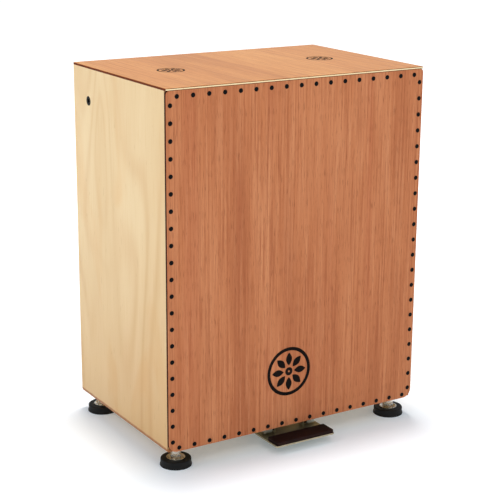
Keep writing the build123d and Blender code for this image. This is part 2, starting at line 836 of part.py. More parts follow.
def make_foot(place, x, y):
    axis = Axis((x, y, 0), (0, 0, 1))
    upright = Plane(origin=(x, y, 0), x_dir=(1, 0, 0), z_dir=(0, -1, 0))
    with BuildPart() as rubber:
        with BuildSketch(upright):
            with BuildLine():
                Polyline(
                    (0, 0),
                    (foot_radius, 0),
                    (foot_radius, flare_height),
                    (foot_top_radius, 2 * flare_height),
                    (foot_top_radius, foot_rubber),
                    (foot_cup_radius + free_gap, foot_rubber),
                    (foot_cup_radius + free_gap, cup_rim_low),
                    (cup_flat + free_gap, cup_floor),
                    (foot_pin_radius + free_gap, cup_floor),
                    (foot_pin_radius + free_gap, pin_low - free_gap),
                    (0, pin_low - free_gap),
                    close=True,
                )
            make_face()
        revolve(axis=axis)
        top_face = rubber.faces().filter_by(Axis.Z).sort_by(Axis.Z)[-1]
        fillet(top_face.outer_wire().edges(), radius=rubber_round)
    save(rubber, f"foot_rubber_{place}")

    with BuildPart() as cup:
        with BuildSketch(upright):
            with BuildLine():
                Polyline(
                    (foot_pin_radius + running, cup_floor),
                    (cup_flat, cup_floor),
                    (foot_cup_radius - cup_sheet / 2, cup_rim_low),
                    (foot_cup_radius, cup_rim_low),
                    (foot_cup_radius, cup_rim_low + cup_sheet),
                    (foot_cup_radius - cup_sheet, cup_rim_low + cup_sheet),
                    (cup_flat - cup_sheet / 2, hex_low),
                    (foot_pin_radius + running, hex_low),
                    close=True,
                )
            make_face()
        revolve(axis=axis)
    save(cup, f"foot_cup_{place}")

    with BuildPart() as screw:
        with BuildSketch(Plane(origin=(x, y, pin_low))):
            Circle(foot_pin_radius)
        extrude(amount=hex_low - pin_low)
        with BuildSketch(Plane(origin=(x, y, hex_low))):
            RegularPolygon(hex_across / 2, 6, major_radius=False)
        extrude(amount=hex_height)
        with BuildSketch(Plane(origin=(x, y, hex_top))):
            Circle(collar_radius)
        extrude(amount=base_z - hex_top)
        with BuildSketch(Plane(origin=(x, y, base_z))):
            Circle(stud_radius)
        extrude(amount=stud_top_up)
        chamfer(screw.edges().filter_by(GeomType.CIRCLE).sort_by(Axis.Z)[-1], length=stud_chamfer)
    save(screw, f"foot_screw_{place}")


for place, (foot_x, foot_y) in foot_places.items():
    make_foot(place, foot_x, foot_y)

tee_low = base_z + tee_sunk
with BuildPart() as tee_nuts:
    with BuildSketch(level(tee_low)):
        with Locations(*foot_places.values()):
            Circle(tee_radius)
            Circle(stud_radius + running, mode=Mode.SUBTRACT)
    extrude(amount=floor_z - tee_low)
    with BuildSketch(level(floor_z)):
        with Locations(*foot_places.values()):
            Circle(tee_flange_radius)
            Circle(stud_radius + running, mode=Mode.SUBTRACT)
    extrude(amount=tee_flange)
save(tee_nuts, "tee_nuts")
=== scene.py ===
# %% [markdown]
# # A cajon with a snare pedal
# A cajon is a wooden box that its player sits on and strikes on the front. This lesson takes
# the drum's measured solids as they are, gives every one a finish, and adds the few pieces
# that solids draw too plainly: threads, springs, coiled snare strands and printed rings.
# Lengths are metres. +X is right seen from the front, +Y is the back and +Z is up.
#
# The solids could be copied by eye into meshes, but then every size would be a guess.
# Loading them keeps each piece exactly where it was designed.

# %% Load the drum
import math

import bmesh
import bpy
from mathutils import Matrix, Vector


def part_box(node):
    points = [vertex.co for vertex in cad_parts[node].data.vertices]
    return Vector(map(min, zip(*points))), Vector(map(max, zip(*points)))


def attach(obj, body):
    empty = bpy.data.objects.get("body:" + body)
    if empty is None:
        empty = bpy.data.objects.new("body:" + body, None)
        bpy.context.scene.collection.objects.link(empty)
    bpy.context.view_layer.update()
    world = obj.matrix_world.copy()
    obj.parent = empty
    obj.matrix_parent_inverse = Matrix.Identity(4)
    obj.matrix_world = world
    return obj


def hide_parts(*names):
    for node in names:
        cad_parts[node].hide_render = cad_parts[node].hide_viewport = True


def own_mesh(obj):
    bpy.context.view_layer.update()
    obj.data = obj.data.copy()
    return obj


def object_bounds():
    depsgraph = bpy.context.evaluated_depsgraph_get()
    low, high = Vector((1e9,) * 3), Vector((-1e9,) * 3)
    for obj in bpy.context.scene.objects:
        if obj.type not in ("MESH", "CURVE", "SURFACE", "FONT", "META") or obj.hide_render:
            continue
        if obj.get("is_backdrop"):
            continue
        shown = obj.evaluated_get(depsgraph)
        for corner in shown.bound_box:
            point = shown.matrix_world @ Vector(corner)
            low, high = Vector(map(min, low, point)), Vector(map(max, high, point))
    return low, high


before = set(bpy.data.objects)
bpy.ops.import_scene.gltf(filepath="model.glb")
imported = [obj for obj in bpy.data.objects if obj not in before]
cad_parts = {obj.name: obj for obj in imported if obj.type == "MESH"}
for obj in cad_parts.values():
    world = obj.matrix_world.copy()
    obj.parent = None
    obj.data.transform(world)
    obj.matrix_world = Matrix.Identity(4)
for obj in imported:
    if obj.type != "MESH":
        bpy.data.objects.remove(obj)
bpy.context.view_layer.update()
mm = 0.001

# %% [markdown]
# ## Where the viewer stands
# The drum is shown from the front left, from a little above the seat. A short lens close by
# would spread the edges apart, and a very long one would make them parallel. A lens of about
# 100 mm, two metres away, keeps the gentle perspective of a catalogue view.

# %% Camera
eye = Vector((-0.98845, -1.59022, 0.77329))
turn, tilt, roll = math.radians(31.821), math.radians(15.690), math.radians(0.424)
ahead = Vector((math.sin(turn) * math.cos(tilt), math.cos(turn) * math.cos(tilt), -math.sin(tilt)))
level_right = Vector((math.cos(turn), -math.sin(turn), 0))
level_up = level_right.cross(ahead)
right = level_right * math.cos(roll) + level_up * math.sin(roll)
up = level_up * math.cos(roll) - level_right * math.sin(roll)
lens = bpy.data.cameras.new("studio_camera")
lens.lens, lens.sensor_width = 99.38, 36
lens.dof.use_dof = False
camera = bpy.data.objects.new("studio_camera", lens)
camera.matrix_world = Matrix.Translation(eye) @ Matrix((right, up, -ahead)).transposed().to_4x4()
bpy.context.scene.collection.objects.link(camera)
bpy.context.scene.camera = camera

# %% [markdown]
# ## Floor and light
# The studio is a white floor that fades into a white world. One square light hangs over the
# drum and a little behind it, so the seat is the brightest face and the soft shadow falls
# towards the viewer. Two weaker ones, high on the left and in front, light those faces more
# at the top than at the bottom. Small lamps would draw hard shadows and glare on the
# lacquer, so every lamp here is 0.7 m wide or more.

# %% Floor, world and lamps
stage_mesh = bpy.data.meshes.new("studio_floor")
reach = 200
floor_corners = [(-reach, -reach, 0), (reach, -reach, 0), (reach, reach, 0), (-reach, reach, 0)]
stage_mesh.from_pydata(floor_corners, [], [(0, 1, 2, 3)])
studio_floor = bpy.data.objects.new("studio_floor", stage_mesh)
bpy.context.scene.collection.objects.link(studio_floor)
studio_floor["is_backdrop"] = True

world = bpy.data.worlds.new("studio")
bpy.context.scene.world = world
world.use_nodes = True
bpy.context.scene.view_settings.view_transform = "Standard"


def lamp(name, place, target, width, power):
    light = bpy.data.lights.new(name, "AREA")
    light.shape, light.size, light.energy = "SQUARE", width, power
    holder = bpy.data.objects.new(name, light)
    holder.location = place
    holder.rotation_mode = "QUATERNION"
    holder.rotation_quaternion = (Vector(target) - Vector(place)).to_track_quat("-Z", "Y")
    bpy.context.scene.collection.objects.link(holder)
    print("lamp", name, power, "W")


lamp("overhead", (0.15, 0.32, 4.0), (0, 0, 0), 0.7, 102)
lamp("left_high", (-1.8, 0.1, 2.0), (-0.2, 0, 0.4), 1.0, 9)
lamp("front_high", (-0.2, -1.9, 2.2), (0, -0.1, 0.45), 1.0, 9)

# %% [markdown]
# ## Writing a material as arithmetic
# A shader is a sum of small steps, and wiring each by hand hides the idea. The class below
# wraps one socket, so 1 - mask or grain * 0.3 adds its own Math node. Colours and vectors go
# through Mix and Vector Math nodes, because Math would turn a colour grey.

# %% A socket that does sums
class Signal:
    """What comes out of one node, ready to be added, multiplied or plugged in."""

    def __init__(self, finish, socket):
        self.finish, self.socket = finish, socket

    def _sum(self, operation, *values):
        return self.finish.node("ShaderNodeMath", {"operation": operation}, dict(enumerate(values)))

    def __add__(self, other):
        return self._sum("ADD", self, other)

    def __sub__(self, other):
        return self._sum("SUBTRACT", self, other)

    def __rsub__(self, other):
        return self._sum("SUBTRACT", other, self)

    def __mul__(self, other):
        return self._sum("MULTIPLY", self, other)

    def __gt__(self, other):
        return self._sum("GREATER_THAN", self, other)

    def __lt__(self, other):
        return self._sum("LESS_THAN", self, other)

    def __pow__(self, other):
        return self._sum("POWER", self, other)

    def __abs__(self):
        return self._sum("ABSOLUTE", self)

    def wave(self):
        return self._sum("SINE", self) * 0.5 + 0.5

    __radd__, __rmul__ = __add__, __mul__


# %% A material that adds its own nodes
class Finish:
    """One material. Values that are the same all over go straight on the shader's sockets."""

    def __init__(self, name, **same_all_over):
        self.material = bpy.data.materials.new(name)
        self.material.use_nodes = True
        self.tree = self.material.node_tree
        self.tree.nodes.clear()
        self.shader = self.tree.nodes.new("ShaderNodeBsdfPrincipled")
        output = self.tree.nodes.new("ShaderNodeOutputMaterial")
        self.tree.links.new(self.shader.outputs[0], output.inputs[0])
        for socket, value in same_all_over.items():
            self.shader.inputs[socket.replace("_", " ")].default_value = value
        self.place = self.node("ShaderNodeTexCoord", out="Object")
        self.facing = self.node("ShaderNodeTexCoord", out="Normal")

    def node(self, kind, settings=None, sockets=None, out=0):
        made = self.tree.nodes.new(kind)
        for name, value in (settings or {}).items():
            if name == "stops":
                while len(made.color_ramp.elements) < len(value):
                    made.color_ramp.elements.new(1)
                for stop, (at, colour) in zip(made.color_ramp.elements, value):
                    stop.position, stop.color = at, colour
            else:
                setattr(made, name, value)
        for key, value in (sockets or {}).items():
            if isinstance(value, Signal):
                self.tree.links.new(value.socket, made.inputs[key])
            else:
                made.inputs[key].default_value = value
        return Signal(self, made.outputs[out])

    def stretch(self, scale, shift=(0, 0, 0)):
        scaled = self.node("ShaderNodeVectorMath", {"operation": "MULTIPLY"}, {0: self.place, 1: scale})
        return self.node("ShaderNodeVectorMath", {"operation": "ADD"}, {0: scaled, 1: shift})

    def noise(self, scale, detail=2.0, shift=(0, 0, 0), twist=0.0):
        where = self.stretch(scale, shift)
        sockets = {"Vector": where, "Scale": 1.0, "Detail": detail, "Distortion": twist}
        return self.node("ShaderNodeTexNoise", None, sockets)

    def ramp(self, signal, *stops):
        return self.node("ShaderNodeValToRGB", {"stops": stops}, {"Fac": signal})

    def step(self, signal, low, high):
        """0 below low, 1 above high, and smooth between."""
        sockets = {"Value": signal, "From Min": low, "From Max": high}
        return self.node("ShaderNodeMapRange", {"interpolation_type": "SMOOTHSTEP"}, sockets)

    def mix(self, share, first, second, blend="MIX"):
        sockets = {0: share, 6: first, 7: second}
        return self.node("ShaderNodeMix", {"data_type": "RGBA", "blend_type": blend}, sockets, out=2)

    def axes(self, vector):
        return [self.node("ShaderNodeSeparateXYZ", None, {0: vector}, out=i) for i in range(3)]

    def bump(self, height, strength, depth):
        return self.node("ShaderNodeBump", None, {"Height": height, "Strength": strength, "Distance": depth})

    def wear(self, **sockets):
        for socket, value in sockets.items():
            self.tree.links.new(value.socket, self.shader.inputs[socket.replace("_", " ")])
        return self

    def on(self, *names):
        self.pieces = names
        for name in names:
            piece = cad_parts[name]
            piece.data.materials.clear()
            piece.data.materials.append(self.material)
        return self


def shade(red, green, blue):
    """A colour as paint charts give it, 0 to 255, as the linear colour that a shader wants."""
    parts = [value / 255 for value in (red, green, blue)]
    linear = [((part + 0.055) / 1.055) ** 2.4 if part > 10 / 255 else part / 12.92 for part in parts]
    return (*linear, 1)


def count_pieces(*finishes):
    return sum(len(finish.pieces) for finish in finishes)


print("a mid brown is", [round(v, 3) for v in shade(190, 125, 90)])

# %% [markdown]
# ## A sky that is white at the horizon
# From low down the far edge of the floor shows, and a sky of one grey would draw a hard line
# there. A studio hides it behind a curved sweep of paper. A gradient costs less: the sky is
# white up to about ten degrees and fades to a dimmer, slightly blue tone overhead.

# %% Sky
class Sky(Finish):
    """The world's own nodes, added the same way as a material's."""

    def __init__(self, world):
        self.tree = world.node_tree
        self.place = self.node("ShaderNodeTexCoord", out="Generated")


sky = Sky(world)
overhead_share = sky.step(sky.axes(sky.place)[2], 0.18, 0.36)
sky_colour = sky.mix(overhead_share, (1, 1, 1, 1), (0.42, 0.44, 0.46, 1))
sky.tree.links.new(sky_colour.socket, sky.tree.nodes["Background"].inputs["Color"])
print("sky nodes", len(sky.tree.nodes))

# %% [markdown]
# ## Veneer on the struck plate
# The tapa is faced with a straight-grained red-brown veneer. Its colour changes at five
# scales: broad bands a few centimetres wide, streaks, narrow lines, hairs, and short open
# pores. One noise could not be all five, so each scale has its own, stretched a long way
# along the grain and hardly at all across it. The edges of the plate are dark brown.

# %% Grain at five scales
def scales(along, across, run):
    return tuple(run if axis == along else across for axis in "xyz")


def veneer_colour(finish, along, colours, shift, contrast):
    """Mixes the five scales of grain from (deep, body, light, pore) colours."""
    deep, body, light, pore = colours
    bands = finish.noise(scales(along, 17, 1.3), 3.0, shift, 0.8)
    streaks = finish.noise(scales(along, 95, 3.2), 4.0, shift, 0.7)
    lines = finish.noise(scales(along, 330, 6.5), 3.0, shift, 0.5)
    hairs = finish.noise(scales(along, 760, 13), 3.0, shift)
    pores = finish.noise(scales(along, 1250, 55), 2.0, shift)
    base = finish.ramp(bands, (0.18, deep), (0.5, body), (0.86, light))
    base = finish.mix(finish.step(streaks, 0.5, 0.74) * (0.32 * contrast), base, light)
    base = finish.mix(finish.step(1 - streaks, 0.52, 0.76) * (0.3 * contrast), base, deep)
    base = finish.mix(finish.step(lines, 0.5, 0.68) * (0.62 * contrast), base, deep)
    base = finish.mix(finish.step(1 - lines, 0.54, 0.7) * (0.45 * contrast), base, light)
    base = finish.mix(finish.step(hairs, 0.48, 0.68) * (0.45 * contrast), base, deep)
    base = finish.mix(finish.step(pores, 0.57, 0.68) * (0.55 * contrast), base, pore)
    return base, hairs, pores


# %% Tapa finish
tapa_finish = Finish("front_veneer_finish", Coat_Roughness=0.3, Specular_IOR_Level=0.06)
tapa_reds = shade(162, 92, 58), shade(190, 119, 78), shade(208, 142, 100), shade(116, 62, 39)
# Every edge of the plate is coloured dark brown, in clouds.
tapa_dark_edge_stops = (0.3, shade(34, 8, 6)), (0.7, shade(70, 24, 16))
tapa_face, tapa_hairs, tapa_pores = veneer_colour(tapa_finish, "z", tapa_reds, (3.1, 0, 7.7), 1.0)
red_bands = tapa_finish.noise(scales("z", 46, 1.6), 2.0, (9.2, 0, 1.3), 0.4)
tapa_face = tapa_finish.mix(tapa_finish.step(red_bands, 0.54, 0.76) * 0.2, tapa_face, shade(170, 88, 60))
tapa_faces_front = tapa_finish.step(abs(tapa_finish.axes(tapa_finish.facing)[1]), 0.35, 0.75)
tapa_edge = tapa_finish.ramp(tapa_finish.noise((300, 900, 300), 2.0), *tapa_dark_edge_stops)
tapa_finish.wear(
    Base_Color=tapa_finish.mix(tapa_faces_front, tapa_edge, tapa_face),
    Roughness=tapa_hairs * 0.14 + 0.66 - tapa_faces_front * 0.3,
    Coat_Weight=tapa_faces_front * 0.04,
    Normal=tapa_finish.bump(1 - tapa_pores, 0.16, 0.15 * mm),
)
tapa_finish.on("tapa")
print("tapa material nodes", len(tapa_finish.tree.nodes))

# %% [markdown]
# ## The seat
# The seat is a thin sheet with the same kind of veneer, paler and with its grain running
# from front to back. A band along its front edge is coloured cream with small nicks, and
# the other edges are dark brown like the tapa's.

# %% Seat finish
seat_finish = Finish("seat_veneer_finish", Coat_Roughness=0.25, Specular_IOR_Level=0.06)
seat_oranges = shade(164, 102, 54), shade(193, 129, 73), shade(211, 151, 90), shade(148, 90, 48)
seat_face, seat_hairs, seat_pores = veneer_colour(seat_finish, "y", seat_oranges, (1.7, 4.4, 0), 0.85)
seat_z = seat_finish.axes(seat_finish.place)[2]
seat_ny, seat_nz = seat_finish.axes(seat_finish.facing)[1:]
skin_low, skin_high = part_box("top_skin")
# A band along the front edge is coloured cream with darker nicks.
nicks = seat_finish.step(seat_finish.noise((130, 0, 0), 3.0), 0.62, 0.72)
seat_cream_edge = seat_finish.mix(nicks * 0.55, shade(243, 222, 176), shade(150, 104, 66))
# All other edges of the seat are coloured dark brown, in clouds.
seat_dark_clouds = seat_finish.noise((90, 90, 1500), 2.0)
seat_dark_edge = seat_finish.ramp(seat_dark_clouds, (0.3, shade(74, 30, 16)), (0.7, shade(124, 60, 32)))
cream_band_low, cream_band_high = skin_low.z + 0.55 * mm, skin_high.z - 0.9 * mm
front_edge = seat_finish.step(seat_ny * -1, 0.55, 0.8) * (seat_z < cream_band_high) * (seat_z > cream_band_low)
edge_colour = seat_finish.mix(front_edge, seat_dark_edge, seat_cream_edge)
seat_top = seat_finish.step(seat_nz, 0.55, 0.85)
seat_finish.wear(
    Base_Color=seat_finish.mix(seat_top, edge_colour, seat_face),
    Roughness=seat_hairs * 0.1 + 0.64 - seat_top * 0.3,
    Coat_Weight=seat_top * 0.05,
    Normal=seat_finish.bump(1 - seat_pores, 0.1, 0.12 * mm),
)
seat_finish.on("top_skin")
print("seat sheet is", round((skin_high.z - skin_low.z) / mm, 2), "mm thick")

# %% [markdown]
# ## Pale birch plywood
# The sides are rotary-cut birch: the log is peeled like a roll of paper, so the growth rings
# come out as soft wandering contours and closed loops instead of lines. Contours of a smooth
# noise do exactly that, so the figure is the sine of a noise, stretched upwards. Amber
# clouds keep a big sheet from looking even, and the sides grow darker and tanner towards
# the bottom. Cut edges show the plies, light and dark by turns, and the router toasted the
# sides' lower edges.

# %% Birch boards
def birch(name, thick_axis, along, shift, warmth):
    """Plywood whose plies are stacked along thick_axis (0, 1 or 2)."""
    finish = Finish(name, Roughness=0.45, Coat_Weight=0.05, Coat_Roughness=0.3, Specular_IOR_Level=0.25)
    pale, tan, line = shade(232, 207, 162), shade(216, 183, 132), shade(202, 154, 94)
    drift = finish.noise(scales(along, 9, 1.3), 3.0, shift, 0.5)
    ground = finish.mix(warmth, finish.ramp(drift, (0.35, pale), (0.7, tan)), tan)
    loops = finish.noise(scales(along, 7.5, 1.7), 1.2, shift, 0.35)
    rings = (loops * 62).wave() ** 3
    quiet = finish.step(finish.noise(scales(along, 4, 1.1), 1.0, (5, 5, 5)), 0.4, 0.62)
    colour = finish.mix(rings * (quiet * 0.8 + 0.2) * 0.42, ground, line)
    fibres = finish.noise(scales(along, 700, 16), 3.0, shift)
    colour = finish.mix(finish.step(fibres, 0.5, 0.72) * 0.2, colour, line)
    flecks = finish.noise(scales(along, 260, 60), 1.0, shift)
    colour = finish.mix(finish.step(flecks, 0.7, 0.78) * 0.25, colour, shade(186, 148, 98))
    amber = finish.noise(scales(along, 12, 3.4), 3.0, shift, 1.2)
    colour = finish.mix(finish.step(amber, 0.5, 0.72) * 0.4, colour, shade(216, 168, 104))
    flat = finish.step(abs(finish.axes(finish.facing)[thick_axis]), 0.5, 0.85)
    two_plies = 3 * mm
    plies = (finish.axes(finish.place)[thick_axis] * (2 * math.pi / two_plies)).wave()
    dark_ply, light_ply = shade(150, 104, 62), shade(216, 184, 132)
    end_grain = finish.ramp(plies * 0.8 + fibres * 0.2, (0.3, dark_ply), (0.62, light_ply))
    return finish, finish.mix(flat, end_grain, colour), fibres


side_finish, side_colour, side_fibres = birch("side_birch_finish", 0, "z", (2.3, 6.1, 0.4), 0.1)
side_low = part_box("left_side")[0]
side_z = side_finish.axes(side_finish.place)[2]
# The sides are coloured darker and tanner towards the bottom.
tanner = 1 - side_finish.step(side_z, side_low.z - 60 * mm, side_low.z + 340 * mm)
side_tan = side_finish.mix(1.0, side_colour, shade(232, 214, 190), "MULTIPLY")
side_colour = side_finish.mix(tanner * 0.8, side_colour, side_tan)
ragged_z = side_z + side_finish.noise((60, 60, 60), 2.0) * (2.4 * mm)
toasted = 1 - side_finish.step(ragged_z, side_low.z + 5.0 * mm, side_low.z + 6.8 * mm)
side_finish.wear(
    Base_Color=side_finish.mix(toasted * 0.85, side_colour, shade(150, 84, 34)),
    Roughness=side_fibres * 0.12 + 0.38,
    Normal=side_finish.bump(side_fibres, 0.08, 0.1 * mm),
)
side_finish.on("left_side", "right_side")

board_finish, board_colour, board_fibres = birch("board_birch_finish", 2, "x", (4.2, 1.1, 3.0), 0.3)
board_finish.wear(
    Base_Color=board_colour,
    Roughness=board_fibres * 0.12 + 0.42,
    Normal=board_finish.bump(board_fibres, 0.08, 0.1 * mm),
)
board_finish.on("top_board", "bottom_board")

back_finish, back_colour, back_fibres = birch("back_birch_finish", 1, "z", (8.8, 2.6, 5.9), 0.55)
back_finish.wear(
    Base_Color=back_colour,
    Roughness=back_fibres * 0.12 + 0.4,
    Normal=back_finish.bump(back_fibres, 0.08, 0.1 * mm),
)
back_finish.on("rear_panel")
print("birch on", count_pieces(side_finish, board_finish, back_finish), "boards")

# %% [markdown]
# ## Planed pine inside
# The strips, corner blocks and guide rail are plain pine. Early and late wood alternate in
# straight lines, so a sine across the board, bent a little by noise, gives the stripes.

# %% Pine
def pine(name, along, across, *nodes):
    finish = Finish(name, Roughness=0.62)
    bend = finish.noise(scales(along, 20, 2.5), 2.0)
    lines = (finish.axes(finish.place)[across] * 1500 + bend * 16).wave() ** 2
    fibres = finish.noise(scales(along, 900, 24), 3.0)
    colour = finish.mix(lines * 0.55, shade(232, 205, 156), shade(196, 148, 92))
    colour = finish.mix(finish.step(fibres, 0.45, 0.75) * 0.25, colour, shade(176, 132, 84))
    finish.wear(Base_Color=colour, Roughness=fibres * 0.2 + 0.5, Normal=finish.bump(fibres, 0.2, 0.15 * mm))
    return finish.on(*nodes)


pines = [
    pine("upright_pine", "z", 0, "rear_batten_left", "rear_batten_right"),
    pine("level_pine", "x", 2, "rear_batten_top", "rear_batten_bottom", "guide_rail"),
    pine("corner_pine", "y", 2, "glue_blocks"),
]
print("pine on", count_pieces(*pines), "nodes")

# %% [markdown]
# ## Metals
# Bare metal is never one even grey. Drawn rods carry fine scratches along their length, cast
# zinc is mottled, chrome is nearly a mirror with a faint haze, and brass goes dull in
# blotches. Each is a colour pair and a scratch direction, so one helper makes them all.

# %% Metal helper
def metal(name, dark, light, scratch, rough, depth, *nodes):
    """scratch is how often the surface changes per metre along x, y and z."""
    finish = Finish(name, Metallic=1.0)
    scratches = finish.noise(scratch, 3.0)
    clouds = finish.noise((45, 45, 45), 3.0)
    finish.wear(
        Base_Color=finish.ramp(scratches * 0.5 + clouds * 0.5, (0.35, dark), (0.65, light)),
        Roughness=scratches * 0.16 + clouds * 0.08 + (rough - 0.12),
        Normal=finish.bump(scratches, depth, 0.05 * mm),
    )
    return finish.on(*nodes)


# %% Rods, castings, chrome and brass
drawn_level = (60, 1800, 1800)
drawn_upright = (1800, 1800, 60)
corners = ("front_left", "front_right", "rear_left", "rear_right")
level_steels = "snare_shaft", "pivot_pin", "lift_bar", "crossbar_bolts", "pin_clips"
upright_steels = "push_rod", "tee_nuts", "pad_rivets"
cups = [f"foot_cup_{corner}" for corner in corners]

metal_finishes = [
    metal("drawn_steel_level", shade(176, 176, 174), shade(216, 216, 214), drawn_level, 0.26, 0.08,
          *level_steels),
    metal("drawn_steel_upright", shade(172, 172, 170), shade(214, 214, 212), drawn_upright, 0.26, 0.08,
          *upright_steels),
    metal("cast_zinc", shade(172, 172, 160), shade(206, 206, 196), (900, 900, 900), 0.5, 0.2,
          "pivot_block_left", "pivot_block_right"),
    metal("pedal_plate_steel", shade(160, 150, 122), shade(200, 190, 162), (40, 1600, 1600), 0.4, 0.1,
          "pedal_plate"),
    metal("mill_aluminium", shade(186, 187, 190), shade(214, 215, 218), (70, 1500, 1500), 0.38, 0.1,
          "snare_crossbar"),
    metal("dull_brass", shade(158, 124, 62), shade(206, 172, 104), (80, 1200, 1200), 0.36, 0.1,
          "snare_bar_left", "snare_bar_right"),
]
chrome = metal("chrome_plate", shade(206, 199, 186), shade(232, 226, 214), (150, 150, 150), 0.22, 0.01,
               *cups)
spring_wire_finish = metal("spring_wire", shade(150, 150, 150), shade(204, 204, 204),
                           (1400, 1400, 1400), 0.28, 0.05)
print("bare metal on", count_pieces(*metal_finishes, chrome), "nodes")

# %% [markdown]
# ## Blacks: screws, nylon, powder coat and rubber
# Four kinds of black meet on this drum, and they differ only in gloss and texture. The
# screws have a thin phosphate skin with a little blue in it, nylon is smooth and matt,
# powder coat is pebbly, and rubber is the dullest, with a dusty moulded skin. The pedal's
# pad is a very dark brown, made the same way.

# %% Black finishes
def black(name, dark, light, grain, rough, strength, *nodes, **same_all_over):
    finish = Finish(name, **same_all_over)
    specks = finish.noise((grain, grain, grain), 3.0)
    dust = finish.noise((35, 35, 35), 3.0)
    finish.wear(
        Base_Color=finish.ramp(specks * 0.45 + dust * 0.55, (0.38, dark), (0.66, light)),
        Roughness=specks * 0.2 + (rough - 0.1),
        Normal=finish.bump(specks, strength, 0.08 * mm),
    )
    return finish.on(*nodes)


screws = "tapa_screws", "rear_screws", "pivot_block_screws", "snare_bar_screws", "hub_set_screws"
nylons = ("shaft_bush_left", "shaft_bush_right", "rod_guide_lower", "rod_guide_upper", "pivot_washers",
          "rod_tip", "rod_cap")
rubbers = [f"foot_rubber_{corner}" for corner in corners]
black_finishes = [
    black("phosphate_screw", shade(2, 3, 4), shade(9, 11, 13), 2600, 0.55, 0.12,
          *screws, Specular_IOR_Level=0.1),
    black("matt_nylon", shade(6, 6, 6), shade(16, 16, 16), 1500, 0.5, 0.12,
          *nylons, Specular_IOR_Level=0.08),
    black("powder_coat", shade(20, 20, 20), shade(40, 40, 40), 900, 0.55, 0.4,
          "snare_arm_left", "snare_arm_right"),
    black("foot_rubber_finish", shade(6, 6, 6), shade(18, 17, 16), 1100, 0.6, 0.3,
          *rubbers, Specular_IOR_Level=0.25),
    black("pedal_pad_finish", shade(24, 9, 7), shade(44, 19, 14), 1300, 0.65, 0.3,
          "pedal_pad", Specular_IOR_Level=0.12),
]
print("black finishes on", count_pieces(*black_finishes), "nodes")

# %% [markdown]
# ## Printed rings
# Drums of this kind carry a printed badge low on the front and two on the seat. A plain
# ornament takes their place here: a ring round an eight-petalled rosette. It could be drawn
# in the veneer's shader, but ink has a crisp edge, so it is a sheet of ink a twentieth of a
# millimetre thick, cut as a ring and petals.

# %% Adding a piece
def add_piece(name, data, finish, body, replaced=None):
    """Puts a mesh in the scene, on the body that it moves with."""
    data.materials.append(finish.material)
    piece = bpy.data.objects.new(name, data)
    bpy.context.scene.collection.objects.link(piece)
    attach(piece, body)
    if replaced:
        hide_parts(replaced)
    return piece


# %% An ornament of ink
ink = black("ink", shade(10, 8, 7), shade(26, 19, 16), 800, 0.7, 0.05, Specular_IOR_Level=0.05)
ink_thick = 0.05 * mm


def at_height(mesh, points, height):
    return [mesh.verts.new((x, y, height)) for x, y in points]


def circle(radius, count=96):
    angles = [2 * math.pi * i / count for i in range(count)]
    return [(radius * math.cos(angle), radius * math.sin(angle)) for angle in angles]


def petal_outline(index, count, root, tip, half):
    """A pointed leaf from root to tip, half wide, turned to its own place in the rosette."""
    turn = 2 * math.pi * index / count
    outline = []
    steps = 14
    for side in (1, -1):
        for i in range(steps):
            t = i / steps if side > 0 else 1 - i / steps
            outline.append((root + (tip - root) * t, side * half * math.sin(math.pi * t) ** 0.9))
    cos, sin = math.cos(turn), math.sin(turn)
    return [(x * cos - y * sin, x * sin + y * cos) for x, y in outline]


def ink_ring(mesh, outer, inner):
    low_out, low_in = at_height(mesh, circle(outer), 0), at_height(mesh, circle(inner), 0)
    top_out, top_in = at_height(mesh, circle(outer), ink_thick), at_height(mesh, circle(inner), ink_thick)
    count = len(low_out)
    for i in range(count):
        j = (i + 1) % count
        mesh.faces.new((top_out[i], top_out[j], top_in[j], top_in[i]))
        mesh.faces.new((low_out[i], low_out[j], top_out[j], top_out[i]))
        mesh.faces.new((low_in[j], low_in[i], top_in[i], top_in[j]))
        mesh.faces.new((low_out[j], low_out[i], low_in[i], low_in[j]))


def ink_petal(mesh, outline):
    low, top = at_height(mesh, outline, 0), at_height(mesh, outline, ink_thick)
    mesh.faces.new(top)
    mesh.faces.new(low[::-1])
    for i in range(len(outline)):
        j = (i + 1) % len(outline)
        mesh.faces.new((low[i], low[j], top[j], top[i]))


def ornament(name, outer, middle, flat_right, flat_up):
    """A ring, a small ring in the middle and eight petals, in the plane of the two directions."""
    mesh = bmesh.new()
    ink_ring(mesh, outer, outer * 0.86)
    ink_ring(mesh, outer * 0.17, outer * 0.04)
    petals = 8
    for index in range(petals):
        ink_petal(mesh, petal_outline(index, petals, outer * 0.24, outer * 0.78, outer * 0.14))
    bmesh.ops.remove_doubles(mesh, verts=mesh.verts, dist=1e-7)
    data = bpy.data.meshes.new(name)
    mesh.to_mesh(data)
    mesh.free()
    normal = Vector(flat_right).cross(Vector(flat_up))
    data.transform(Matrix.Translation(middle) @ Matrix((flat_right, flat_up, normal)).transposed().to_4x4())
    add_piece(name, data, ink, "box")
    print(name, "at", [round(v, 4) for v in middle])


tapa_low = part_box("tapa")[0]
box_middle_y = (skin_low.y + skin_high.y) / 2
base_z = tapa_low.z
lift = 0.01 * mm
front_middle = Vector((-13 * mm, tapa_low.y - lift, base_z + 79.2 * mm))
ornament("front_ornament", 34.6 * mm, front_middle, (1, 0, 0), (0, 0, 1))
for side, sign in (("left", -1), ("right", 1)):
    seat_middle = Vector((sign * 119 * mm, box_middle_y, skin_high.z + lift))
    ornament(f"seat_ornament_{side}", 19 * mm, seat_middle, (1, 0, 0), (0, 1, 0))

# %% [markdown]
# ## Height screws in the feet
# Each foot hangs on a chromed screw: a hexagon for the spanner, a collar, and an M8 thread
# that runs up into the tee nut. Solids leave the thread out. A boolean thread is slow and
# fragile, so the stud here is a lathe grid whose radius follows a rising V, one turn for
# every 1.25 mm of height, and the hexagon gets the domed corners of a turned nut.

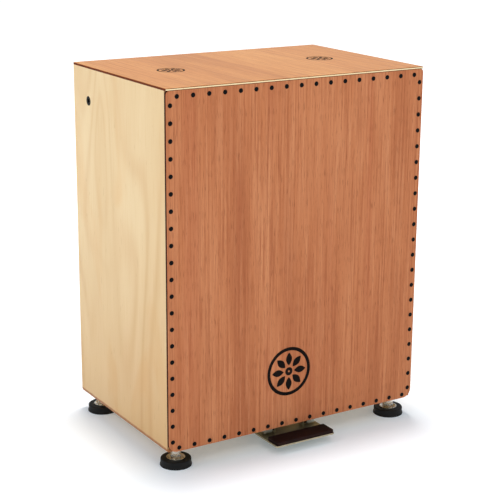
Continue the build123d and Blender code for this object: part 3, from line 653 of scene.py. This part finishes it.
# %% A lathe that can turn threads
def lathe(mesh, rows, spokes, radius_at):
    """Rings of vertices at the heights in rows. radius_at gives the radius by height and angle."""
    rings = []
    for z in rows:
        ring = []
        for i in range(spokes):
            angle = 2 * math.pi * i / spokes
            r = radius_at(z, angle)
            ring.append(mesh.verts.new((r * math.cos(angle), r * math.sin(angle), z)))
        rings.append(ring)
    for low, high in zip(rings, rings[1:]):
        for i in range(spokes):
            j = (i + 1) % spokes
            mesh.faces.new((low[i], low[j], high[j], high[i]))
    mesh.faces.new(rings[0][::-1])
    mesh.faces.new(rings[-1])


def spread(first, last, count):
    return [first + (last - first) * i / (count - 1) for i in range(count)]


# %% Hexagon, collar and thread
def hexagon_radius(across, angle):
    sector = math.pi / 3
    return across / 2 / math.cos((angle % sector) - sector / 2)


def height_screw(corner):
    low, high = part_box(f"foot_screw_{corner}")
    centre = (low + high) / 2
    pin_radius, collar_radius, thread_radius = 3 * mm, 6.5 * mm, 3.93 * mm
    hex_low, hex_high = 8.2 * mm, 16.2 * mm
    chamfer, pitch, deep = 1.2 * mm, 1.25 * mm, 0.6 * mm
    mesh = bmesh.new()
    lathe(mesh, (low.z, hex_low - 0.01 * mm), 32, lambda z, angle: pin_radius)

    def nut(z, angle):
        """A hexagon whose corners are cut back to a cone near both faces."""
        dome = 8.05 * mm - 1.9 * max(0.0, 1.1 * mm - min(z - hex_low, hex_high - z))
        return min(hexagon_radius(14 * mm, angle), dome)

    nut_rows = spread(hex_low, hex_low + chamfer, 5) + spread(hex_high - chamfer, hex_high, 5)
    lathe(mesh, nut_rows, 72, nut)

    def collar(z, angle):
        """A round neck with one groove, softened at both ends."""
        groove = 0.5 * mm if abs(z - (hex_high + 2.2 * mm)) < 0.35 * mm else 0
        edge = max(0.0, 0.6 * mm - min(z - hex_high, base_z - z))
        return collar_radius - groove - edge

    lathe(mesh, spread(hex_high, base_z, 34), 48, collar)

    def thread(z, angle):
        """A V that climbs one pitch a turn, with a tapered end."""
        phase = ((z - base_z) / pitch - angle / (2 * math.pi)) % 1
        point = max(0.0, z - (high.z - chamfer))
        return thread_radius - deep * (1 - abs(2 * phase - 1)) - point

    lathe(mesh, spread(base_z, high.z, 190), 32, thread)
    data = bpy.data.meshes.new(f"height_screw_{corner}")
    bmesh.ops.recalc_face_normals(mesh, faces=mesh.faces)
    mesh.to_mesh(data)
    mesh.free()
    data.transform(Matrix.Translation((centre.x, centre.y, 0)))
    data.shade_smooth()
    data.set_sharp_from_angle(angle=math.radians(32))
    add_piece(f"height_screw_{corner}", data, chrome, f"foot_stud_{corner}", f"foot_screw_{corner}")
    return len(data.polygons)


print("faces in each height screw", [height_screw(corner) for corner in corners])

# %% [markdown]
# ## Coiled wire: snare strands and the return spring
# A snare strand is a long, thin, close coil, and twenty of them buzz against the tapa. The
# pedal's return spring is a short coil of thicker wire. A curve with a round bevel makes
# coils easily, but twenty long ones are heavy, so the coils are swept straight into one mesh
# with just enough sides to look round.

# %% Sweep a round wire along a coil
def sweep_wire(mesh, points, radius, sides):
    """Sweeps a circle along the points, turning it as little as it can from one to the next."""
    spokes = [2 * math.pi * k / sides for k in range(sides)]
    rings = []
    across = None
    for i, point in enumerate(points):
        along = (points[min(i + 1, len(points) - 1)] - points[max(i - 1, 0)]).normalized()
        across = across - along * across.dot(along) if across else along.orthogonal()
        across.normalize()
        over = along.cross(across)
        edge = [point + (across * math.cos(a) + over * math.sin(a)) * radius for a in spokes]
        rings.append([mesh.verts.new(place) for place in edge])
    for low, high in zip(rings, rings[1:]):
        for k in range(sides):
            n = (k + 1) % sides
            mesh.faces.new((low[k], low[n], high[n], high[k]))
    mesh.faces.new(rings[0][::-1])
    mesh.faces.new(rings[-1])


def coil(foot, axis, length, radius, turns, steps):
    side = axis.orthogonal().normalized()
    other = axis.cross(side)
    count = int(turns * steps)
    return [
        foot + axis * (length * i / count)
        + (side * math.cos(2 * math.pi * i / steps) + other * math.sin(2 * math.pi * i / steps)) * radius
        for i in range(count + 1)
    ]


def wire_piece(name, mesh, body, node):
    data = bpy.data.meshes.new(name)
    mesh.to_mesh(data)
    mesh.free()
    data.shade_smooth()
    print(name, "faces", len(data.polygons))
    return add_piece(name, data, spring_wire_finish, body, node)


# %% Snare strands
def middle_y(piece, first, last):
    """The average y of a mesh's vertices between two heights."""
    inside = [vertex.co.y for vertex in piece.data.vertices if first < vertex.co.z < last]
    return sum(inside) / len(inside)


swing = math.radians(9) * 0.337
strand_count, strand_radius = 10, 1.1 * mm
coil_radius, coil_pitch, strand_wire = 0.82 * mm, 1.5 * mm, 0.26 * mm
for side in ("left", "right"):
    low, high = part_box(f"snare_wires_{side}")
    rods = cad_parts[f"snare_wires_{side}"]
    length = (high.z - low.z) / math.cos(swing) - 0.2 * mm
    foot_y = middle_y(rods, low.z - mm, low.z + 0.5 * mm)
    head_y = middle_y(rods, high.z - 0.5 * mm, high.z + mm)
    axis = Vector((0, head_y - foot_y, high.z - low.z)).normalized()
    mesh = bmesh.new()
    for x in spread(low.x + strand_radius, high.x - strand_radius, strand_count):
        foot = Vector((x, foot_y, low.z + 0.1 * mm))
        sweep_wire(mesh, coil(foot, axis, length, coil_radius, length / coil_pitch, 9), strand_wire, 4)
    wire_piece(f"snare_coils_{side}", mesh, "snare_frame", f"snare_wires_{side}")

# %% Return spring
spring_low, spring_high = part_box("pedal_spring")
wire, spring_radius, spring_turns = 0.7 * mm, 5 * mm, 4.5
spring_foot = (spring_low + spring_high) / 2
spring_foot.z = spring_low.z + wire
spring_length = spring_high.z - spring_low.z - 2 * wire
spring_mesh = bmesh.new()
spring_coil = coil(spring_foot, Vector((0, 0, 1)), spring_length, spring_radius, spring_turns, 28)
sweep_wire(spring_mesh, spring_coil, wire, 10)
return_spring = wire_piece("return_spring", spring_mesh, "box", "pedal_spring")
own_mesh(return_spring)

# %% [markdown]
# ## The floor's finish and painted glow
# Seamless white paper is almost featureless, but not quite, so it gets a faint tooth. In a
# studio the far sweep of the paper has lights of its own. Here the paper glows instead, as
# painted light: a faint bluish glow next to the drum lightens and cools its shadow, and a
# stronger glow further off keeps the floor white without another lamp on the drum.

# %% Floor finish
paper = Finish("seamless_paper", Roughness=0.9, Specular_IOR_Level=0.0, Emission_Strength=1.0)
tooth = paper.noise((120, 120, 120), 3.0)
away = paper.node("ShaderNodeVectorMath", {"operation": "LENGTH"}, {0: paper.place}, out="Value")
# Painted light: a weak bluish glow near the drum lightens its shadow, and a brighter one further off.
glow = paper.mix(paper.step(away, 0.45, 1.6), (0.115, 0.145, 0.17, 1), (0.6, 0.6, 0.6, 1))
paper_white = paper.ramp(tooth, (0.3, (0.9, 0.905, 0.915, 1)), (0.7, (0.92, 0.925, 0.935, 1)))
paper.wear(Emission_Color=glow, Base_Color=paper_white)
studio_floor.data.materials.append(paper.material)

# %% [markdown]
# ## The size of the finished drum
# The finished drum has to fill the same box as its solids, so the last step measures the box
# that all its pieces fill.

# %% Sizes, then the end
low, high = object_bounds()
